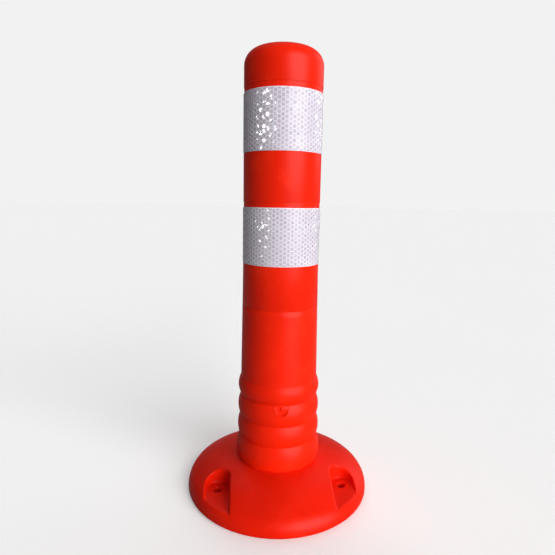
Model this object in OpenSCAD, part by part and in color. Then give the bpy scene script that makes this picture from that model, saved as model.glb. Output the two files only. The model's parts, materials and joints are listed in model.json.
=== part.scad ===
// Flexible delineator post: a hollow post with a ribbed neck on a round bolt-down base.
// Millimetres, +Z up, origin at the centre of the base's underside, front towards -Y.

/* [Post] */
// Overall height from the underside of the base to the crown
post_h = 467; // [460:1:480]
// Outer radius of the straight part of the post
post_r = 40; // [39:0.5:41]
// Wall thickness of the straight part of the post
post_wall = 3.5; // [3:0.25:4]
// Height of the mould seam between the lower and the upper tube
seam_z = 206.5; // [195:0.5:215]
// Outer radius of the post at the mould seam
seam_r = 40.5; // [40.2:0.1:40.8]
// Radius of the rounded edge of the cap
cap_edge_r = 16; // [12:0.5:18]
// Height that the crown of the cap rises above its rounded edge
cap_crown = 2.5; // [1:0.5:4]

/* [Neck] */
// Height at which the post stands out of the base
root_z = 35.5; // [34:0.5:37]
// Outer radius of the neck where it stands out of the base
root_r = 45; // [44.5:0.5:46]
// Height of the crease above the collar
collar_top_z = 61; // [59:0.2:64]
// Height of the crease above the lower rib
rib_lower_top_z = 83.6; // [82:0.2:87]
// Height of the crease above the middle rib
rib_middle_top_z = 107.2; // [106:0.2:110]
// Height at which the upper rib meets the lower tube
rib_upper_top_z = 127.2; // [126:0.2:130]
// Outer radius of the neck at each of those four heights
crease_r = [43.0, 42.2, 41.2, 41.6]; // [41:0.1:44]
// How far the collar and each rib stand out beyond the line between their creases
rib_bulge = [2.1, 2.4, 2.8, 2.9]; // [1.5:0.1:3]
// Inner radius of the neck, the same all the way up
neck_bore_r = 37.5; // [37:0.25:38]
// Height of the moulding's gate mark
gate_z = 104.5; // [103:0.5:107]
// Radius of the round gate mark
gate_r = 7; // [6:0.5:9]
// Distance of the gate mark's flat face from the post's axis
gate_face_r = 42.3; // [42:0.1:43]
// Radius of the nub at the centre of the gate mark
gate_nub_r = 2.2; // [1.5:0.1:3]

/* [Base] */
// Outer radius of the base
base_r = 100; // [98.5:0.5:102]
// Height of the top surface where it meets the post
base_top_z = 35.5; // [34:0.5:37]
// Radius at which the sloping top turns into the rounded rim
rim_start_r = 92.4; // [91:0.2:94]
// Height of the top surface at the start of the rounded rim
rim_start_z = 17.5; // [16.5:0.5:18.5]
// Wall thickness of the hollow base
base_wall = 5; // [4:0.5:6]

/* [Bolt pockets] */
// Diameter of the circle through the bolt holes
bolt_pcd = 153; // [150:0.5:155]
// Number of bolt holes
bolt_count = 3; // [3:1:3]
// Radius of each bolt hole
bolt_hole_r = 4.5; // [4.5:0.25:5]
// Half the width of each pocket
pocket_r = 13; // [12:0.5:13.5]
// Height of the flat floor of each pocket
pocket_floor_z = 14; // [13:0.5:15]

/* [Reflective bands] */
// Height of the lower edge of the lower band
lower_band_z = 252; // [248:0.5:256]
// Height of the lower edge of the upper band
upper_band_z = 363.9; // [360:0.1:366]
// Width of each band
band_h = 58; // [56:0.5:60]
// Depth of the seat that each band lies in
seat_depth = 0.4; // [0.3:0.05:0.5]
// Gap between a band's upper edge and the step of its seat
seat_above = 5.2; // [4:0.2:6]
// Gap between a band's lower edge and the step of its seat
seat_below = 0.3; // [0.2:0.1:0.6]
// Thickness of the white backing film
backing_t = 0.4; // [0.3:0.05:0.45]
// Thickness of the prismatic face film
face_t = 0.4; // [0.3:0.05:0.45]
// Width of the white backing that shows along each edge of a band
backing_border = 0.8; // [0.5:0.1:1]

/* [Hidden] */
$fn = 96;
arc_steps = 10;
crown_steps = 4;
cut_h = 400;
fit_gap = 0.1;
crease_z = [collar_top_z, rib_lower_top_z, rib_middle_top_z, rib_upper_top_z];
band_z = [for (z = [lower_band_z, upper_band_z]) [z, z + band_h]];
seat_r = post_r - seat_depth;
seam_groove = 0.3;
// The cap's lower edge is the upper step of the upper band's seat
cap_joint_z = band_z[1][1] + seat_above;
cap_edge_z = post_h - cap_crown - cap_edge_r;
cap_flat_r = post_r - cap_edge_r;
cap_lining_inset = 2.5;
spigot_r = post_r - post_wall - fit_gap;
spigot_wall = 2.5;
spigot_len = 12;
// The post's foot: a sleeve in the base's bore, with a lip under the base
base_bore_r = 43;
root_wall_r = base_bore_r - fit_gap;
lip_r = 52;
lip_z = [4, 10];
lip_gap = 0.2;
ledge_r = root_r + 0.3;
base_top_bulge = 2.8;
foot_bevel = 1.2;
rim_edge_z = 4.5;
rim_bulge = 1.7;
// The hollow under the base, between its hub and its rim
hub_r = 58;
rim_inner_r = 90.5;
hollow_rise = 13;
stiffener_count = 12;
stiffener_t = 3;
stiffener_first = 15;
stiffener_bite = 1;
pocket_mouth = 50;
bolt_angles = [for (i = [0:bolt_count - 1]) 90 + i * 360 / bolt_count];

function direction(a) = [cos(a), sin(a)];

// Points of the arc from a to b that stands out by bulge on the right of the line from a to b
function arc(a, b, bulge, steps = arc_steps) =
    let (chord = norm(b - a), along = (b - a) / chord, out = [along[1], -along[0]])
    let (r = (chord * chord / 4 + bulge * bulge) / (2 * bulge), half = asin(chord / 2 / r))
    let (centre = (a + b) / 2 - out * (r - bulge))
    [for (i = [0:steps])
        let (t = -half + 2 * half * i / steps)
        centre + r * (out * cos(t) + along * sin(t))];

// A ring about the Z axis from its outer outline, given upwards, and its inner radii
module shell(outline, inner_low, inner_high) {
    low = outline[0][1];
    high = outline[len(outline) - 1][1];
    rotate_extrude()
        polygon(concat(outline, [[inner_high, high], [inner_low, low]]));
}

module ring(r_in, r_out, z_low, z_high) {
    translate([0, 0, z_low])
        difference() {
            cylinder(r = r_out, h = z_high - z_low);
            translate([0, 0, -1])
                cylinder(r = r_in, h = z_high - z_low + 2);
        }
}

// The collar is segment 0, and the ribs above it are 1 to 3
module neck_segment(i) {
    low = i == 0 ? [root_r, root_z] : [crease_r[i - 1], crease_z[i - 1]];
    shell(arc(low, [crease_r[i], crease_z[i]], rib_bulge[i]), neck_bore_r, neck_bore_r);
}

module base_body() {
    rotate_extrude()
        polygon(concat(
            [[base_bore_r, 0], [base_r - foot_bevel, 0], [base_r, foot_bevel]],
            arc([base_r, rim_edge_z], [rim_start_r, rim_start_z], rim_bulge),
            arc([rim_start_r, rim_start_z], [ledge_r, base_top_z], base_top_bulge),
            [[base_bore_r, base_top_z]]
        ));
}

// The hollow under the base's sloping top, between the hub and the rim
module base_hollow() {
    rim_side = [rim_inner_r, rim_start_z - base_wall];
    hub_side = [hub_r, rim_side[1] + hollow_rise];
    rotate_extrude()
        polygon([[hub_r, -1], [rim_inner_r, -1], rim_side, hub_side]);
}

module at_bolts() {
    for (a = bolt_angles)
        translate(bolt_pcd / 2 * direction(a))
            children();
}

// Pockets run out to the rim along Y, the way the mould opens
module pocket_outline(r) {
    for (a = bolt_angles)
        translate(bolt_pcd / 2 * direction(a)) {
            circle(r = r);
            translate([-r, sin(a) > 0 ? 0 : -pocket_mouth])
                square([2 * r, pocket_mouth]);
        }
}

module stiffeners() {
    for (i = [0:stiffener_count - 1])
        rotate(stiffener_first + i * 360 / stiffener_count)
            translate([hub_r - stiffener_bite, -stiffener_t / 2, 0])
                cube([rim_inner_r - hub_r + 2 * stiffener_bite, stiffener_t, base_top_z]);
}

module base_flange() {
    color([0.86, 0.1, 0.03])
        difference() {
            intersection() {
                base_body();
                union() {
                    difference() {
                        cylinder(r = base_r + 1, h = cut_h);
                        base_hollow();
                    }
                    stiffeners();
                    linear_extrude(base_top_z)
                        pocket_outline(pocket_r + base_wall);
                }
            }
            translate([0, 0, pocket_floor_z])
                linear_extrude(cut_h)
                    pocket_outline(pocket_r);
            at_bolts()
                translate([0, 0, -1])
                    cylinder(r = bolt_hole_r, h = pocket_floor_z + 2);
            translate([0, 0, -1])
                cylinder(r = lip_r + lip_gap, h = lip_z[1] + lip_gap + 1);
        }
}

module post_root() {
    color([0.93, 0.11, 0.03]) {
        ring(neck_bore_r, root_wall_r, lip_z[0], root_z);
        ring(root_wall_r, lip_r, lip_z[0], lip_z[1]);
    }
}

module neck_collar() {
    color([0.93, 0.11, 0.03])
        neck_segment(0);
}

module neck_rib_lower() {
    color([0.95, 0.12, 0.03])
        neck_segment(1);
}

// The gate mark is a flat round recess with a nub at its centre
module neck_rib_middle() {
    color([0.95, 0.12, 0.03])
        difference() {
            neck_segment(2);
            translate([0, -gate_face_r, gate_z])
                rotate([90, 0, 0])
                    difference() {
                        cylinder(r = gate_r, h = post_r);
                        translate([0, 0, -1])
                            cylinder(r = gate_nub_r, h = post_r + 2);
                    }
        }
}

module neck_rib_upper() {
    color([0.95, 0.12, 0.03])
        neck_segment(3);
}

module tube_lower() {
    color([0.95, 0.12, 0.03])
        shell([
            [crease_r[3], rib_upper_top_z],
            [seam_r, seam_z - seam_groove],
            [seam_r - seam_groove, seam_z]
        ], neck_bore_r, post_r - post_wall);
}

module tube_upper() {
    color([0.95, 0.12, 0.03])
        shell(concat(
            [[seam_r - seam_groove, seam_z], [seam_r, seam_z + seam_groove]],
            [for (b = band_z) each [
                [post_r, b[0] - seat_below],
                [seat_r, b[0] - seat_below],
                [seat_r, b[1] + seat_above],
                if (b == band_z[0]) [post_r, b[1] + seat_above]
            ]]
        ), post_r - post_wall, post_r - post_wall);
}

// The cap's spigot is pushed into the top of the tube and welded
module top_cap() {
    color([0.95, 0.12, 0.03])
        difference() {
            union() {
                rotate_extrude()
                    polygon(concat(
                        [[0, cap_joint_z], [post_r, cap_joint_z]],
                        [for (i = [0:arc_steps])
                            [cap_flat_r, cap_edge_z] + cap_edge_r * direction(90 * i / arc_steps)],
                        [for (i = [1:crown_steps])
                            let (out = 1 - i / crown_steps)
                            [cap_flat_r * out, post_h - cap_crown * out * out]]
                    ));
                translate([0, 0, cap_joint_z - spigot_len])
                    cylinder(r = spigot_r, h = spigot_len + 1);
            }
            translate([0, 0, cap_joint_z - spigot_len - 1])
                cylinder(r = spigot_r - spigot_wall, h = cap_edge_z - cap_joint_z + spigot_len + 1);
            translate([0, 0, cap_edge_z])
                cylinder(r = cap_flat_r, h = cap_edge_r - post_wall);
            rotate_extrude()
                translate([cap_flat_r - cap_lining_inset, cap_edge_z])
                    circle(r = cap_edge_r - post_wall);
        }
}

module film(i, r_in, t, border) {
    ring(r_in, r_in + t, band_z[i][0] + border, band_z[i][1] - border);
}

module band_backing(i) {
    color([0.93, 0.93, 0.95])
        film(i, seat_r, backing_t, 0);
}

module band_face(i) {
    color([0.78, 0.76, 0.84])
        film(i, seat_r + backing_t, face_t, backing_border);
}

module band_lower_backing() band_backing(0);
module band_lower_face() band_face(0);
module band_upper_backing() band_backing(1);
module band_upper_face() band_face(1);

base_flange();
post_root();
neck_collar();
neck_rib_lower();
neck_rib_middle();
neck_rib_upper();
tube_lower();
tube_upper();
top_cap();
band_lower_backing();
band_lower_face();
band_upper_backing();
band_upper_face();
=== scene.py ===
"""Looks of the delineator post: moulded red-orange plastic, a bolt-down base and two prismatic bands.

Lengths are metres unless a name ends in _MM. Points of an outline are (radius, height) about the post's axis.
"""

import json
import math
import random

import bmesh
import bpy
import numpy as np
from mathutils import Matrix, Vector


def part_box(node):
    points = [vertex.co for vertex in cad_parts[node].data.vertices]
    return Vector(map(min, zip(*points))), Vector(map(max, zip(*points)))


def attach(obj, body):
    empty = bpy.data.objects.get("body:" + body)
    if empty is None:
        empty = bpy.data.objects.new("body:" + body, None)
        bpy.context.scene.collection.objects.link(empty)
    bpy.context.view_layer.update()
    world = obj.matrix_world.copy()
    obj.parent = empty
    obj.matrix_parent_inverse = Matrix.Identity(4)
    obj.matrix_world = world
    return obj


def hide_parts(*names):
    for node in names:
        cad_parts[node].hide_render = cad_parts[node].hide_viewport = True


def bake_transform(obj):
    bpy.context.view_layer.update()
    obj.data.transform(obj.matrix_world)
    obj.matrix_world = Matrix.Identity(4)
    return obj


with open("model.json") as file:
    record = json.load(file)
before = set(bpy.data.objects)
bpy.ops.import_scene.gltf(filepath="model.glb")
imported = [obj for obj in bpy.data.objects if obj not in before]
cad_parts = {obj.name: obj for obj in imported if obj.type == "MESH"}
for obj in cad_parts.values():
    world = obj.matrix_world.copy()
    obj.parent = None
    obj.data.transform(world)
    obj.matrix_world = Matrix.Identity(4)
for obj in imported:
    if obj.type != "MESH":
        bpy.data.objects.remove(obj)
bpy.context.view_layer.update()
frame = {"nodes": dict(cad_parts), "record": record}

MM = 0.001
SEGMENTS = 224
NECK = ["neck_collar", "neck_rib_lower", "neck_rib_middle", "neck_rib_upper"]
BANDS = ["lower", "upper"]

# Base, as sizes of the moulding around what the frame gives
BASE_R_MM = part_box("base_flange")[1].x / MM
BASE_TOP_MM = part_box("base_flange")[1].z / MM
RIM_START_MM = (92.4, 17.5)
RIM_EDGE_MM = 4.5
RIM_BULGE_MM = 1.7
SADDLE_BULGE_MM = 2.8
ROOT_BORE_MM = 43.0
LIP_SEAT_MM = (52.2, 10.2)
HUB_R_MM = 58.0
RIM_INNER_MM = 90.5
HOLLOW_TOP_MM = (25.5, 12.5)
STIFFENERS = 12
STIFFENER_MM = 3.0
BOLTS = next(m["dims"] for m in frame["record"]["mounts"] if m["kind"] == "bolt_pattern")
POCKET_R_MM = 13.0
POCKET_FLOOR_MM = 14.0
POCKET_WALL_MM = 5.0
GRID_MM = 1.0

# Post
WALL = 3.5 * MM
NECK_BORE = 37.5 * MM
SEAT_DEPTH = 0.4 * MM
SEAT_ABOVE = 5.2 * MM
SEAT_BELOW = 0.3 * MM
GATE_Z = 104.5 * MM
GATE_R = 7.0 * MM
GATE_FACE = 42.3 * MM
GATE_NUB_R = 2.2 * MM
CREASE_ROUND = 0.5 * MM

# Prismatic film: hexagonal cells between white seal lines, with patches of glints that repeat in larger tiles
HEX_COLUMNS = 68
SEAL_SHARE = 0.17
CELL_DEPTH = 0.06 * MM
GLINT_TURN = math.radians(46)
TILE_WIDTH = 6.4 * MM
TILE_HEIGHT = 11.3 * MM
# Each grid of patches: its offset as a share of a tile, half the width and half the height of a patch
PATCH_GRIDS = ((0.0, 2.1 * MM, 2.3 * MM), (0.5, 1.2 * MM, 1.3 * MM))
GLINT_SHARE = 0.9

RED = (0.93, 0.017, 0.002)
BASE_RED = (0.88, 0.013, 0.002)

# Studio
FLOOR_HALF = 30.0
FLOOR_GLOW = 0.19
AMBIENT = 0.12
BACKDROP = 0.888
LENS_MM = 30.25
LENS_SHIFT = -0.0052

# Base's undercut parts and the edges that the mould leaves round
STIFFENER_FIRST_DEG = 15
LEDGE_MM = 0.3
FOOT_BEVEL_MM = 1.2


# ---------------------------------------------------------------- outlines

def arc(a, b, bulge, steps=24):
    """Points from a to b along the arc that stands out by bulge on the right of the line from a to b."""
    a, b = np.array(a, float), np.array(b, float)
    chord = np.linalg.norm(b - a)
    along = (b - a) / chord
    out = np.array([along[1], -along[0]])
    radius = (chord * chord / 4 + bulge * bulge) / (2 * bulge)
    half = math.asin(chord / 2 / radius)
    centre = (a + b) / 2 - out * (radius - bulge)
    turns = np.linspace(-half, half, steps + 1)
    return [tuple(centre + radius * (out * math.cos(t) + along * math.sin(t))) for t in turns]


def fillet(points, radius, steps=5):
    """The closed outline with each of its corners rounded, where the sides beside it are long enough."""
    rounded = []
    count = len(points)
    for i in range(count):
        before, here, after = (np.array(points[j % count], float) for j in (i - 1, i, i + 1))
        to_before, to_after = before - here, after - here
        reach = min(radius, 0.45 * np.linalg.norm(to_before), 0.45 * np.linalg.norm(to_after))
        start = here + to_before / np.linalg.norm(to_before) * reach
        end = here + to_after / np.linalg.norm(to_after) * reach
        for t in np.linspace(0, 1, steps + 1):
            rounded.append(tuple((1 - t) ** 2 * start + 2 * t * (1 - t) * here + t * t * end))
    return rounded


def line(a, b, steps):
    """Evenly spaced points from a to b, without b."""
    return [tuple(np.array(a) + (np.array(b) - np.array(a)) * i / steps) for i in range(steps)]


def outer_wall(node):
    """(radius, height) of the lowest edge, the widest place and the highest edge of a CAD node's outside."""
    vertices = np.array([v.co for v in frame["nodes"][node].data.vertices])
    radius = np.hypot(vertices[:, 0], vertices[:, 1])
    height = vertices[:, 2]
    low, high = height.min(), height.max()
    at_low = radius[height < low + 1e-5].max()
    at_high = radius[height > high - 1e-5].max()
    widest = radius.argmax()
    return (at_low, low), (radius[widest], height[widest]), (at_high, high)


# ---------------------------------------------------------------- meshes

def add_object(name, mesh):
    piece = bpy.data.objects.new(name, mesh)
    bpy.context.scene.collection.objects.link(piece)
    return piece


def shade(mesh, sharp_degrees=38):
    """Smooth shading, with the edges sharper than the limit kept crisp."""
    bm = bmesh.new()
    bm.from_mesh(mesh)
    bmesh.ops.remove_doubles(bm, verts=bm.verts, dist=1e-6)
    bmesh.ops.recalc_face_normals(bm, faces=bm.faces)
    limit = math.radians(sharp_degrees)
    for face in bm.faces:
        face.smooth = True
    for edge in bm.edges:
        edge.smooth = len(edge.link_faces) == 2 and edge.calc_face_angle(0) < limit
    bm.to_mesh(mesh)
    bm.free()


def revolve(name, outline, angles=None, carve=None):
    """A closed solid of the closed outline about the Z axis. carve(angle, radius, height) may change the radius."""
    if angles is None:
        angles = np.linspace(0, 2 * math.pi, SEGMENTS, endpoint=False)
    radius, height = np.array(outline, float).T
    a, r = np.meshgrid(angles, radius)
    z = np.repeat(height[:, None], len(angles), axis=1)
    if carve:
        r = carve(a, r, z)
    vertices = np.stack([r * np.cos(a), r * np.sin(a), z], axis=-1).reshape(-1, 3)
    rows, columns = len(outline), len(angles)
    i, j = np.meshgrid(np.arange(rows), np.arange(columns), indexing="ij")
    i_next, j_next = (i + 1) % rows, (j + 1) % columns
    corners = [(i, j), (i, j_next), (i_next, j_next), (i_next, j)]
    faces = np.stack([row * columns + column for row, column in corners], axis=-1).reshape(-1, 4)
    mesh = bpy.data.meshes.new(name)
    mesh.from_pydata(vertices.tolist(), [], faces.tolist())
    shade(mesh)
    return add_object(name, mesh)


def smooth_max(a, b, k):
    """The larger of two distances, with the edge between them rounded over about k."""
    h = np.clip(0.5 + 0.5 * (a - b) / k, 0, 1)
    return b + (a - b) * h + k * h * (1 - h)


def polygon_distance(points, x, y):
    """Signed distance, negative inside, from each (x, y) to the closed polygon."""
    nearest = np.full(x.shape, 1e9)
    inside = np.zeros(x.shape, bool)
    for (ax, ay), (bx, by) in zip(points, points[1:] + points[:1]):
        ex, ey = bx - ax, by - ay
        length = ex * ex + ey * ey
        if length < 1e-12:
            continue
        t = np.clip(((x - ax) * ex + (y - ay) * ey) / length, 0, 1)
        nearest = np.minimum(nearest, (x - ax - t * ex) ** 2 + (y - ay - t * ey) ** 2)
        if ay != by:
            crosses = (ay > y) != (by > y)
            inside ^= crosses & (x < ax + ex * (y - ay) / ey)
    return np.where(inside, -1, 1) * np.sqrt(nearest)


def gradient(distance, points, step=0.05):
    """Unit gradient of a distance function at each point."""
    slope = np.stack([
        distance(*(points + step * axis).T) - distance(*(points - step * axis).T) for axis in np.eye(3)
    ], axis=1)
    return slope / np.maximum(np.linalg.norm(slope, axis=1, keepdims=True), 1e-9)


def solid_from_distance(name, distance, low, high, step):
    """A smooth closed mesh of the places where distance(x, y, z), in millimetres, is below 0."""
    axes = [np.arange(a, b + step, step) for a, b in zip(low, high)]
    value = distance(*np.meshgrid(*axes, indexing="ij"))
    inside = value < 0
    cells = tuple(n - 1 for n in value.shape)
    total, count = np.zeros(cells + (3,)), np.zeros(cells)
    corner = [slice(0, -1), slice(1, None)]
    for axis in range(3):
        for u in (0, 1):
            for v in (0, 1):
                near, far = [corner[u], corner[v]], [corner[u], corner[v]]
                near.insert(axis, corner[0])
                far.insert(axis, corner[1])
                a, b = value[tuple(near)], value[tuple(far)]
                crossed = (a < 0) != (b < 0)
                t = np.where(crossed, a / np.where(crossed, a - b, 1), 0)
                place = [np.full(cells, float(u)), np.full(cells, float(v))]
                place.insert(axis, t)
                total += np.stack(place, axis=-1) * crossed[..., None]
                count += crossed
    used = count > 0
    index = np.full(cells, -1)
    index[used] = np.arange(used.sum())
    base = np.argwhere(used) + total[used] / count[used][:, None]
    points = np.array([a[0] for a in axes]) + base * step
    quads = []
    for axis in range(3):
        u, v = [k for k in range(3) if k != axis]
        inner = [slice(None)] * 3
        inner[axis] = slice(0, -1)
        inner[u] = inner[v] = slice(1, -1)
        outer = list(inner)
        outer[axis] = slice(1, None)
        a, b = inside[tuple(inner)], inside[tuple(outer)]
        for flip, mask in ((False, a & ~b), (True, ~a & b)):
            cell = np.argwhere(mask)
            cell[:, u] += 1
            cell[:, v] += 1
            ring = []
            for du, dv in ((-1, -1), (0, -1), (0, 0), (-1, 0)):
                neighbour = cell.copy()
                neighbour[:, u] += du
                neighbour[:, v] += dv
                ring.append(index[tuple(neighbour.T)])
            order = np.stack(ring, axis=1)
            quads.append(order[:, ::-1] if flip != (axis == 1) else order)
    for _ in range(4):
        points -= gradient(distance, points) * distance(*points.T)[:, None]
    mesh = bpy.data.meshes.new(name)
    mesh.from_pydata((points * MM).tolist(), [], np.concatenate(quads).tolist())
    mesh.shade_smooth()
    mesh.normals_split_custom_set_from_vertices(gradient(distance, points).tolist())
    return add_object(name, mesh)


# ---------------------------------------------------------------- materials

class Shader:
    """A material's node tree, built from short calls. Coordinates are the object's own, in metres."""

    def __init__(self, name):
        self.material = bpy.data.materials.new(name)
        self.material.use_nodes = True
        self.nodes = self.material.node_tree.nodes
        self.links = self.material.node_tree.links
        self.surface = self.nodes["Principled BSDF"]
        self.place = self.nodes.new("ShaderNodeTexCoord").outputs["Object"]

    def wire(self, value, socket):
        if isinstance(value, bpy.types.NodeSocket):
            self.links.new(value, socket)
        else:
            socket.default_value = value

    def set(self, **values):
        for name, value in values.items():
            self.wire(value, self.surface.inputs[name.replace("_", " ")])

    def math(self, operation, a, b=0.0, c=0.0):
        node = self.nodes.new("ShaderNodeMath")
        node.operation = operation
        for socket, value in zip(node.inputs, (a, b, c)):
            self.wire(value, socket)
        return node.outputs[0]

    def stretch(self, x, y, z):
        node = self.nodes.new("ShaderNodeMapping")
        node.inputs["Scale"].default_value = (x, y, z)
        self.links.new(self.place, node.inputs["Vector"])
        return node.outputs[0]

    def noise(self, scale, detail=3.0, roughness=0.5, vector=None):
        node = self.nodes.new("ShaderNodeTexNoise")
        node.inputs["Scale"].default_value = scale
        node.inputs["Detail"].default_value = detail
        node.inputs["Roughness"].default_value = roughness
        self.links.new(vector or self.place, node.inputs["Vector"])
        return node.outputs["Fac"]

    def separate(self):
        node = self.nodes.new("ShaderNodeSeparateXYZ")
        self.links.new(self.place, node.inputs[0])
        return node.outputs

    def remap(self, value, low, high, to_low=0.0, to_high=1.0):
        node = self.nodes.new("ShaderNodeMapRange")
        for socket, number in zip(list(node.inputs)[1:5], (low, high, to_low, to_high)):
            socket.default_value = number
        self.links.new(value, node.inputs[0])
        return node.outputs[0]

    def mix(self, share, a, b):
        node = self.nodes.new("ShaderNodeMix")
        node.data_type = "RGBA"
        self.wire(share, node.inputs[0])
        self.wire((*a, 1) if isinstance(a, tuple) else a, node.inputs[6])
        self.wire((*b, 1) if isinstance(b, tuple) else b, node.inputs[7])
        return node.outputs[2]

    def bump(self, height, distance, strength=1.0, normal=None):
        node = self.nodes.new("ShaderNodeBump")
        node.inputs["Strength"].default_value = strength
        node.inputs["Distance"].default_value = distance
        self.links.new(height, node.inputs["Height"])
        if normal:
            self.links.new(normal, node.inputs["Normal"])
        return node.outputs[0]

    def attribute(self, name):
        node = self.nodes.new("ShaderNodeAttribute")
        node.attribute_name = name
        return node.outputs["Fac"]


def moulded(name, colour, parting_line_and_highlight=False):
    """Satin injection-moulded polyurethane: flow marks, an uneven wall, orange peel, handling scratches."""
    s = Shader(name)
    flow = s.noise(9, 4, 0.55, s.stretch(1, 1, 0.35))
    blotch = s.noise(38, 3, 0.6)
    dark = tuple(c * 0.84 for c in colour)
    light = (min(1, colour[0] * 1.03), colour[1] * 1.8, colour[2] * 2.5)
    tint = s.mix(s.remap(flow, 0.35, 0.68), dark, colour)
    tint = s.mix(s.remap(blotch, 0.52, 0.8, 0.0, 0.6), tint, light)
    scratch = s.remap(s.noise(60, 2, 0.4, s.stretch(9, 9, 1.1)), 0.69, 0.73)
    where = s.remap(s.noise(13, 2), 0.55, 0.68)
    scratch = s.math("MULTIPLY", scratch, where)
    tint = s.mix(s.math("MULTIPLY", scratch, 0.35), tint, (0.95, 0.22, 0.14))
    sag = s.noise(24, 1, 0.4)
    peel = s.noise(420, 2, 0.5)
    fine = s.noise(2200, 2, 0.5)
    rough = s.remap(s.noise(26, 4, 0.6), 0.3, 0.75, 0.30, 0.42)
    rough = s.math("ADD", rough, s.math("MULTIPLY", scratch, 0.12))
    normal = s.bump(sag, 0.0016, 0.5)
    normal = s.bump(peel, 0.00012, 0.35, normal)
    normal = s.bump(fine, 0.00003, 0.25, normal)
    normal = s.bump(scratch, -0.00006, 0.5, normal)
    # Parting line on the mould's split plane: a real ridge in the bump, and a painted highlight that lightens the
    # colour along it.
    if parting_line_and_highlight:
        off = s.math("ABSOLUTE", s.separate()[1])
        ridge_and_highlight = s.remap(off, 0.0, 0.0007, 1.0, 0.0)
        normal = s.bump(ridge_and_highlight, 0.0002, 0.8, normal)
        tint = s.mix(s.math("MULTIPLY", ridge_and_highlight, 0.25), tint, light)
    s.set(Base_Color=tint, Roughness=rough, Normal=normal)
    s.set(IOR=1.5, Specular_IOR_Level=0.12)
    return s.material


def white_film(name):
    """The white film that shows as seal lines and along each edge."""
    s = Shader(name)
    grain = s.noise(900, 3, 0.6)
    patch = s.noise(45, 3)
    tint = s.mix(s.remap(patch, 0.35, 0.7), (0.68, 0.67, 0.74), (0.76, 0.75, 0.83))
    s.set(Base_Color=tint, Roughness=s.remap(grain, 0.3, 0.7, 0.32, 0.46), Normal=s.bump(grain, 0.00002, 0.4))
    s.set(IOR=1.5, Specular_IOR_Level=0.2, Coat_Weight=0.25, Coat_Roughness=0.2)
    return s.material


def prism_cells(name):
    """Hazy cells behind a clear face: the prisms return the light a little differently from place to place."""
    s = Shader(name)
    haze = s.noise(70, 3, 0.6)
    tint = s.mix(s.attribute("facet_tone"), (0.46, 0.38, 0.46), (0.58, 0.50, 0.58))
    tint = s.mix(s.remap(haze, 0.4, 0.75, 0.0, 0.55), tint, (0.66, 0.62, 0.68))
    glitter = s.noise(2600, 1, 0.5)
    s.set(Base_Color=tint, Roughness=s.remap(glitter, 0.3, 0.7, 0.3, 0.42))
    s.set(IOR=1.5, Specular_IOR_Level=0.4, Sheen_Weight=0.5, Sheen_Roughness=0.35)
    s.set(Coat_Weight=0.25, Coat_Roughness=0.2)
    return s.material


def prism_glints(name):
    """Facets that mirror the lamp: their clear face is shaded along the direction stored with each facet."""
    s = Shader(name)
    s.set(Base_Color=s.mix(s.noise(300, 2), (0.48, 0.40, 0.50), (0.62, 0.55, 0.64)), Roughness=0.34)
    s.set(IOR=1.5, Specular_IOR_Level=0.4, Coat_Weight=1.0, Coat_Roughness=0.12, Coat_IOR=2.4)
    facing = s.nodes.new("ShaderNodeAttribute")
    facing.attribute_name = "facet_facing"
    turn = s.nodes.new("ShaderNodeVectorTransform")
    turn.vector_type = "NORMAL"
    turn.convert_from, turn.convert_to = "OBJECT", "WORLD"
    s.links.new(facing.outputs["Vector"], turn.inputs[0])
    s.links.new(turn.outputs[0], s.surface.inputs["Coat Normal"])
    return s.material


POST_PLASTIC = moulded("post_plastic", RED)
# The base's plastic carries the parting-line ridge with its painted highlight.
BASE_PLASTIC = moulded("base_plastic", BASE_RED, parting_line_and_highlight=True)
WHITE_FILM = white_film("white_film")
PRISM_CELLS = prism_cells("prism_cells")
PRISM_GLINTS = prism_glints("prism_glints")


def place(piece, node, material, slot, body):
    """Gives the piece its finish, hides the CAD node it replaces and hangs the piece on the body, if one is given.
    """
    piece.data.materials.append(material)
    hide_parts(node)
    if body:
        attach(piece, body)
    return piece


# ---------------------------------------------------------------- base

def bolt_places():
    turns = [math.pi / 2 + i * 2 * math.pi / BOLTS["count"] for i in range(BOLTS["count"])]
    circle = BOLTS["pcd_mm"] / 2
    return [(circle * math.cos(t), circle * math.sin(t)) for t in turns]


def pocket_distance(x, y):
    """Distance in plan to the nearest pocket: a round end about its bolt, open towards the rim along Y."""
    nearest = np.full(x.shape, 1e9)
    for bolt_x, bolt_y in bolt_places():
        to_mouth = (y - bolt_y) * math.copysign(1, bolt_y)
        nearest = np.minimum(nearest, np.hypot(x - bolt_x, np.minimum(to_mouth, 0)))
    return nearest - POCKET_R_MM


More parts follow.
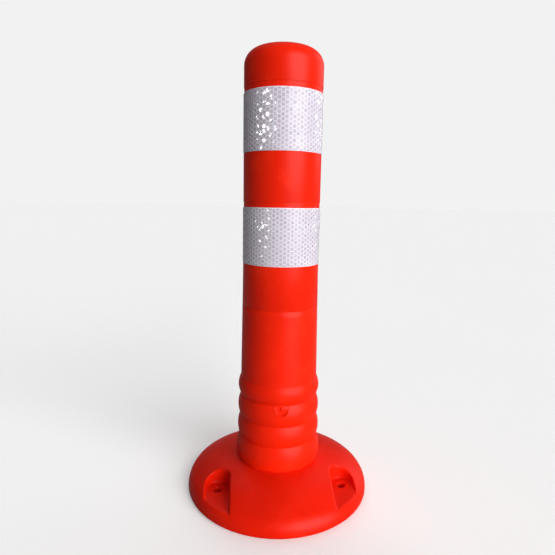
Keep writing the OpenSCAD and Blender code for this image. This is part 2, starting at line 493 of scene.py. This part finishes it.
def base_distance():
    """The distance function of the base: saucer, pockets, bolt holes and the stiffened hollow beneath."""
    ledge_mm = outer_wall("neck_collar")[0][0] / MM + LEDGE_MM
    saucer = [(ROOT_BORE_MM, LIP_SEAT_MM[1]), (LIP_SEAT_MM[0], LIP_SEAT_MM[1]), (LIP_SEAT_MM[0], 0)]
    saucer += [(BASE_R_MM - FOOT_BEVEL_MM, 0), (BASE_R_MM, FOOT_BEVEL_MM)]
    saucer += arc((BASE_R_MM, RIM_EDGE_MM), RIM_START_MM, RIM_BULGE_MM, 12)
    saucer += arc(RIM_START_MM, (ledge_mm, BASE_TOP_MM), SADDLE_BULGE_MM, 16)
    saucer += [(ROOT_BORE_MM, BASE_TOP_MM)]
    hollow = [(HUB_R_MM, -5), (RIM_INNER_MM, -5), (RIM_INNER_MM, HOLLOW_TOP_MM[1]), (HUB_R_MM, HOLLOW_TOP_MM[0])]
    stiffener_turns = [math.radians(STIFFENER_FIRST_DEG + i * 360 / STIFFENERS) for i in range(STIFFENERS)]

    def distance(x, y, z):
        r = np.hypot(x, y)
        plan = pocket_distance(x, y)
        cavity = polygon_distance(hollow, r, z)
        cavity = smooth_max(cavity, POCKET_WALL_MM - plan, 2.0)
        for turn in stiffener_turns:
            across = np.abs(y * math.cos(turn) - x * math.sin(turn))
            ahead = x * math.cos(turn) + y * math.sin(turn)
            beside = np.where(ahead > 0, across, r)
            cavity = smooth_max(cavity, STIFFENER_MM / 2 - beside, 1.5)
        solid = polygon_distance(saucer, r, z)
        solid = smooth_max(solid, -cavity, 1.0)
        pocket = smooth_max(plan, POCKET_FLOOR_MM - z, 2.4)
        solid = smooth_max(solid, -pocket, 1.8)
        for bolt_x, bolt_y in bolt_places():
            solid = smooth_max(solid, BOLTS["hole_r_mm"] - np.hypot(x - bolt_x, y - bolt_y), 0.8)
        return solid

    return distance


def make_base():
    reach = BASE_R_MM + 1.5
    piece = solid_from_distance(
        "base_moulding", base_distance(), (-reach, -reach, -1.5), (reach, reach, BASE_TOP_MM + 1.5), GRID_MM
    )
    return place(piece, "base_flange", BASE_PLASTIC, "base_tpu", "base")


def make_root():
    """The post's foot: a sleeve in the base's bore with a lip below."""
    (sleeve_r, _), _, (_, top) = outer_wall("post_root")
    low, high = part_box("post_root")
    lip_top = LIP_SEAT_MM[1] * MM - 0.2 * MM
    wall = outer_wall("post_root")[2][0]
    outline = [
        (NECK_BORE, low.z), (high.x, low.z), (high.x, lip_top), (wall, lip_top), (wall, top), (NECK_BORE, top)
    ]
    piece = revolve("root_sleeve", fillet(outline, 0.8 * MM))
    return place(piece, "post_root", POST_PLASTIC, "post_tpu", "base")


# ---------------------------------------------------------------- post

def gate_carve(angle, radius, height):
    """The round gate mark on the front: a flat recess with a nub at its centre."""
    from_front = angle - 1.5 * math.pi
    across = radius * np.sin(from_front)
    away = np.hypot(across, height - GATE_Z)
    flat = GATE_FACE / np.maximum(np.cos(from_front), 0.5)
    depth = np.clip((GATE_R - away) / (0.7 * MM), 0, 1)
    depth = depth * depth * (3 - 2 * depth)
    nub = np.clip((GATE_NUB_R - away) / (0.9 * MM), 0, 1) * 1.1 * MM
    ring = 0.35 * MM * np.exp(-((away - GATE_R - 0.3 * MM) / (0.5 * MM)) ** 2)
    front = (np.cos(from_front) > 0) & (radius > NECK_BORE + 1 * MM)
    recessed = radius + (np.minimum(flat, radius) - radius) * depth + nub + ring
    return np.where(front, recessed, radius)


def neck_radius(z):
    """Outer radius of the whole neck: one arc per node, with each crease between them a little rounded."""
    arcs = []
    for node in NECK:
        (low_r, low), (widest, _), (high_r, high) = outer_wall(node)
        bulge = widest - (low_r + high_r) / 2
        half = math.hypot(high - low, high_r - low_r) / 2
        radius = (half * half + bulge * bulge) / (2 * bulge)
        lean = math.atan2(low_r - high_r, high - low)
        centre_r = (low_r + high_r) / 2 - (radius - bulge) * math.cos(lean)
        centre_z = (low + high) / 2 - (radius - bulge) * math.sin(lean)
        reach = np.clip(radius ** 2 - (z - centre_z) ** 2, 0, None)
        arcs.append(centre_r + np.sqrt(reach))
    outer = arcs[0]
    for other in arcs[1:]:
        outer = smooth_max(outer, other, CREASE_ROUND)
    return outer


def neck_outline(node, steps):
    low, high = (corner.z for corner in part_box(node))
    ease = 0.5 - 0.5 * np.cos(np.linspace(0, math.pi, steps + 1))
    z = low + (high - low) * ease
    outer = list(zip(neck_radius(z), z))
    return outer + line((NECK_BORE, high), (NECK_BORE, low), 14) + [(NECK_BORE, low)]


def make_neck():
    """The collar and the three ribs, each a skin of its own on no body, with its place baked into the mesh."""
    for node in NECK:
        if node == "neck_rib_middle":
            half_turn = 12 * math.pi / 180
            fine = np.linspace(1.5 * math.pi - half_turn, 1.5 * math.pi + half_turn, 73)
            rest = np.linspace(1.5 * math.pi + half_turn, 3.5 * math.pi - half_turn, SEGMENTS)[1:-1]
            piece = revolve(node + "_skin", neck_outline(node, 64), np.concatenate([fine, rest]), gate_carve)
        else:
            piece = revolve(node + "_skin", neck_outline(node, 28))
        place(piece, node, POST_PLASTIC, "post_tpu", None)
        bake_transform(piece)


def make_tubes():
    (foot_r, foot), _, (seam_r, seam) = outer_wall("tube_lower")
    groove = 0.25 * MM
    line_half = 0.35 * MM
    below = seam - line_half
    post_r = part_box("top_cap")[1].x
    seam_r = seam_r + 0.3 * MM
    inner = post_r - WALL
    outline = line((foot_r, foot), (seam_r, below), 12) + [(seam_r, below), (seam_r - groove, seam)]
    outline += line((inner, seam), (NECK_BORE, foot), 8) + [(NECK_BORE, foot)]
    place(revolve("tube_lower_skin", outline), "tube_lower", POST_PLASTIC, "post_tpu", "post")

    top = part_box("tube_upper")[1].z
    seat_r = post_r - SEAT_DEPTH
    outline = [(seam_r - groove, seam), (seam_r, seam + line_half)]
    for band in BANDS:
        low, high = (corner.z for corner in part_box(f"band_{band}_backing"))
        outline += [(post_r, low - SEAT_BELOW - 0.3 * MM), (seat_r, low - SEAT_BELOW)]
        if band != BANDS[-1]:
            step = high + SEAT_ABOVE
            outline += [(seat_r, step), (post_r - 0.1 * MM, step + 0.1 * MM), (post_r, step + 0.5 * MM)]
    outline.append((seat_r, top))
    outline += line((inner, top), (inner, seam), 16) + [(inner, seam)]
    place(revolve("tube_upper_skin", outline), "tube_upper", POST_PLASTIC, "post_tpu", "post")


def make_cap():
    low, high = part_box("top_cap")
    post_r = high.x
    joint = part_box("tube_upper")[1].z
    crown, edge = 2.5 * MM, 16 * MM
    edge_z, flat_r = high.z - crown - edge, post_r - edge
    spigot = post_r - WALL - 0.1 * MM
    bore = spigot - 2.5 * MM
    turns = np.linspace(0, math.pi / 2, 22)
    outline = [(post_r - 0.3 * MM, joint), (post_r - 0.1 * MM, joint + 0.1 * MM), (post_r, joint + 0.5 * MM)]
    outline += [(flat_r + edge * math.cos(t), edge_z + edge * math.sin(t)) for t in turns]
    outline += [(flat_r * (1 - s), high.z - crown * (1 - s) ** 2) for s in np.linspace(0.1, 1, 10)]
    outline += [(0, high.z - crown - WALL)]
    outline += [(flat_r - 2 * MM + (edge - WALL) * math.sin(t), edge_z + (edge - WALL) * math.cos(t)) for t in turns]
    outline += [(bore, edge_z - 2 * MM), (bore, low.z), (spigot, low.z), (spigot, joint)]
    place(revolve("cap_dome", outline), "top_cap", POST_PLASTIC, "post_tpu", "post")


# ---------------------------------------------------------------- reflective bands

def make_backing(band):
    node = f"band_{band}_backing"
    low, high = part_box(node)
    outer = high.x
    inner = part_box("top_cap")[1].x - SEAT_DEPTH
    outline = fillet([(inner, low.z), (outer, low.z), (outer, high.z), (inner, high.z)], 0.12 * MM, 3)
    place(revolve(f"{node}_film", outline), node, WHITE_FILM, "tape_backing", "post")


def in_patch(around, height):
    """Whether a cell lies where the film's tooling turns its prisms: two interleaved grids of small patches."""
    for offset, reach, rise in PATCH_GRIDS:
        across = (around / TILE_WIDTH + offset + 0.5) % 1 - 0.5
        up = (height / TILE_HEIGHT + offset + 0.5) % 1 - 0.5
        if abs(across) * TILE_WIDTH < reach and abs(up) * TILE_HEIGHT < rise:
            return True
    return False


def make_face(band, chance):
    """The clear face film, as hexagonal cells of six facets between white seal lines, wrapped round the post."""
    node = f"band_{band}_face"
    low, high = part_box(node)
    radius = high.x
    inner_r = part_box(f"band_{band}_backing")[1].x
    spacing = 2 * math.pi / HEX_COLUMNS
    side = spacing * radius / 1.5
    pitch = side * math.sqrt(3)
    rows = int((high.z - low.z) / pitch) + 3
    bm = bmesh.new()
    tone = bm.faces.layers.float.new("facet_tone")
    facing = bm.faces.layers.float_vector.new("facet_facing")

    def point(column, centre_z, share, turn, depth):
        angle = column * spacing + share * side * math.cos(turn) / radius
        r = radius - depth
        return bm.verts.new((r * math.cos(angle), r * math.sin(angle), centre_z + share * side * math.sin(turn)))

    corners = [i * math.pi / 3 for i in range(6)]
    cell_share = 1 - SEAL_SHARE
    for column in range(HEX_COLUMNS):
        for row in range(rows):
            centre_z = low.z + (row - 0.5 + 0.5 * (column % 2)) * pitch
            glints = in_patch(column * spacing * radius, centre_z)
            rim = [point(column, centre_z, 1, t, 0) for t in corners]
            edge = [point(column, centre_z, cell_share, t, 0) for t in corners]
            floor = [point(column, centre_z, cell_share - 0.04, t, CELL_DEPTH) for t in corners]
            middle = point(column, centre_z, 0, 0, CELL_DEPTH * chance.uniform(0.2, 1.8))
            cell_tone = chance.uniform(0.3, 0.7)
            for i in range(6):
                k = (i + 1) % 6
                bm.faces.new((rim[i], rim[k], edge[k], edge[i]))
                bm.faces.new((edge[i], edge[k], floor[k], floor[i]))
                facet = bm.faces.new((floor[i], floor[k], middle))
                facet.material_index = 2 if glints and chance.random() < GLINT_SHARE else 1
                facet[tone] = cell_tone + chance.uniform(-0.2, 0.2)
                turn = column * spacing + GLINT_TURN * chance.choice((-1, 1, 1)) + chance.uniform(-0.07, 0.07)
                facet[facing] = (math.cos(turn), math.sin(turn), chance.uniform(-0.12, 0.12))
    bmesh.ops.remove_doubles(bm, verts=bm.verts, dist=1e-6)
    for level, upwards in ((low.z, -1), (high.z, 1)):
        everything = bm.verts[:] + bm.edges[:] + bm.faces[:]
        bmesh.ops.bisect_plane(
            bm, geom=everything, plane_co=(0, 0, level), plane_no=(0, 0, upwards), clear_outer=True
        )
    border = [e for e in bm.edges if e.is_boundary]
    grown = bmesh.ops.extrude_edge_only(bm, edges=border)["geom"]
    for vertex in (g for g in grown if isinstance(g, bmesh.types.BMVert)):
        length = math.hypot(vertex.co.x, vertex.co.y)
        vertex.co.x *= inner_r / length
        vertex.co.y *= inner_r / length
    loops = [g for g in grown if isinstance(g, bmesh.types.BMEdge) and g.is_boundary]
    bmesh.ops.bridge_loops(bm, edges=loops)
    bmesh.ops.recalc_face_normals(bm, faces=bm.faces)
    mesh = bpy.data.meshes.new(node + "_film")
    bm.to_mesh(mesh)
    bm.free()
    piece = add_object(node + "_film", mesh)
    piece.data.materials.append(WHITE_FILM)
    place(piece, node, PRISM_CELLS, "tape_face", "post")
    piece.data.materials.append(PRISM_GLINTS)


# ---------------------------------------------------------------- studio

def make_floor():
    """A pale floor: the camera sees it lighter than it throws light back, as on a swept studio cloth."""
    mesh = bpy.data.meshes.new("floor")
    signs = ((-1, -1), (1, -1), (1, 1), (-1, 1))
    mesh.from_pydata([(x * FLOOR_HALF, y * FLOOR_HALF, 0) for x, y in signs], [], [(0, 1, 2, 3)])
    floor = add_object("floor", mesh)
    s = Shader("floor_paint")
    seen = s.nodes.new("ShaderNodeLightPath").outputs["Is Camera Ray"]
    pale = s.mix(s.noise(3, 2), (0.93, 0.93, 0.93), (0.95, 0.95, 0.95))
    s.set(Base_Color=s.mix(seen, (0.3, 0.3, 0.3), pale), Roughness=1.0)
    s.surface.inputs["Specular IOR Level"].default_value = 0.0
    s.set(Emission_Color=(1, 1, 1, 1), Emission_Strength=s.math("MULTIPLY", seen, FLOOR_GLOW))
    floor.data.materials.append(s.material)
    floor.visible_shadow = False


def add_sun(name, side, height, energy, width, glossy=True):
    """A broad light from side degrees right of the front, height degrees up and width degrees across."""
    light = bpy.data.lights.new(name, "SUN")
    light.energy = energy
    light.angle = math.radians(width)
    lamp = bpy.data.objects.new(name, light)
    lamp.rotation_euler = (math.radians(90 - height), 0, math.radians(side))
    lamp.visible_glossy = glossy
    bpy.context.scene.collection.objects.link(lamp)


def make_light():
    world = bpy.data.worlds.new("studio")
    bpy.context.scene.world = world
    world.use_nodes = True
    nodes, links = world.node_tree.nodes, world.node_tree.links
    back = nodes["Background"]
    back.inputs["Color"].default_value = (1, 1, 1, 1)
    path = nodes.new("ShaderNodeLightPath")
    level = nodes.new("ShaderNodeMapRange")
    level.inputs["To Min"].default_value = AMBIENT
    level.inputs["To Max"].default_value = BACKDROP
    links.new(path.outputs["Is Camera Ray"], level.inputs["Value"])
    links.new(level.outputs[0], back.inputs["Strength"])
    add_sun("key", 35, 14, 4.1, 54)
    add_sun("side", 120, 20, 0.4, 40)
    add_sun("back", 178, 45, 1.0, 60, glossy=False)


def make_camera():
    """At the height and distance that the base's outline and the bands' curves call for, tipped by a degree."""
    heading, pitch, roll = math.radians(5.1), math.radians(9.32), math.radians(1.01)
    distance, height = 0.4949, 0.3166
    camera = bpy.data.objects.new("camera", bpy.data.cameras.new("camera"))
    bpy.context.scene.collection.objects.link(camera)
    camera.location = (-distance * math.sin(heading), -distance * math.cos(heading), height)
    turn = Matrix.Rotation(-heading, 4, "Z") @ Matrix.Rotation(math.pi / 2 - pitch, 4, "X")
    camera.rotation_euler = (turn @ Matrix.Rotation(roll, 4, "Z")).to_euler()
    camera.data.lens = LENS_MM
    camera.data.shift_x = LENS_SHIFT
    bpy.context.scene.camera = camera
    bpy.context.scene.view_settings.view_transform = "Standard"


make_base()
make_root()
make_neck()
make_tubes()
make_cap()
for band in BANDS:
    make_backing(band)
    make_face(band, random.Random(BANDS.index(band)))
make_floor()
make_light()
make_camera()
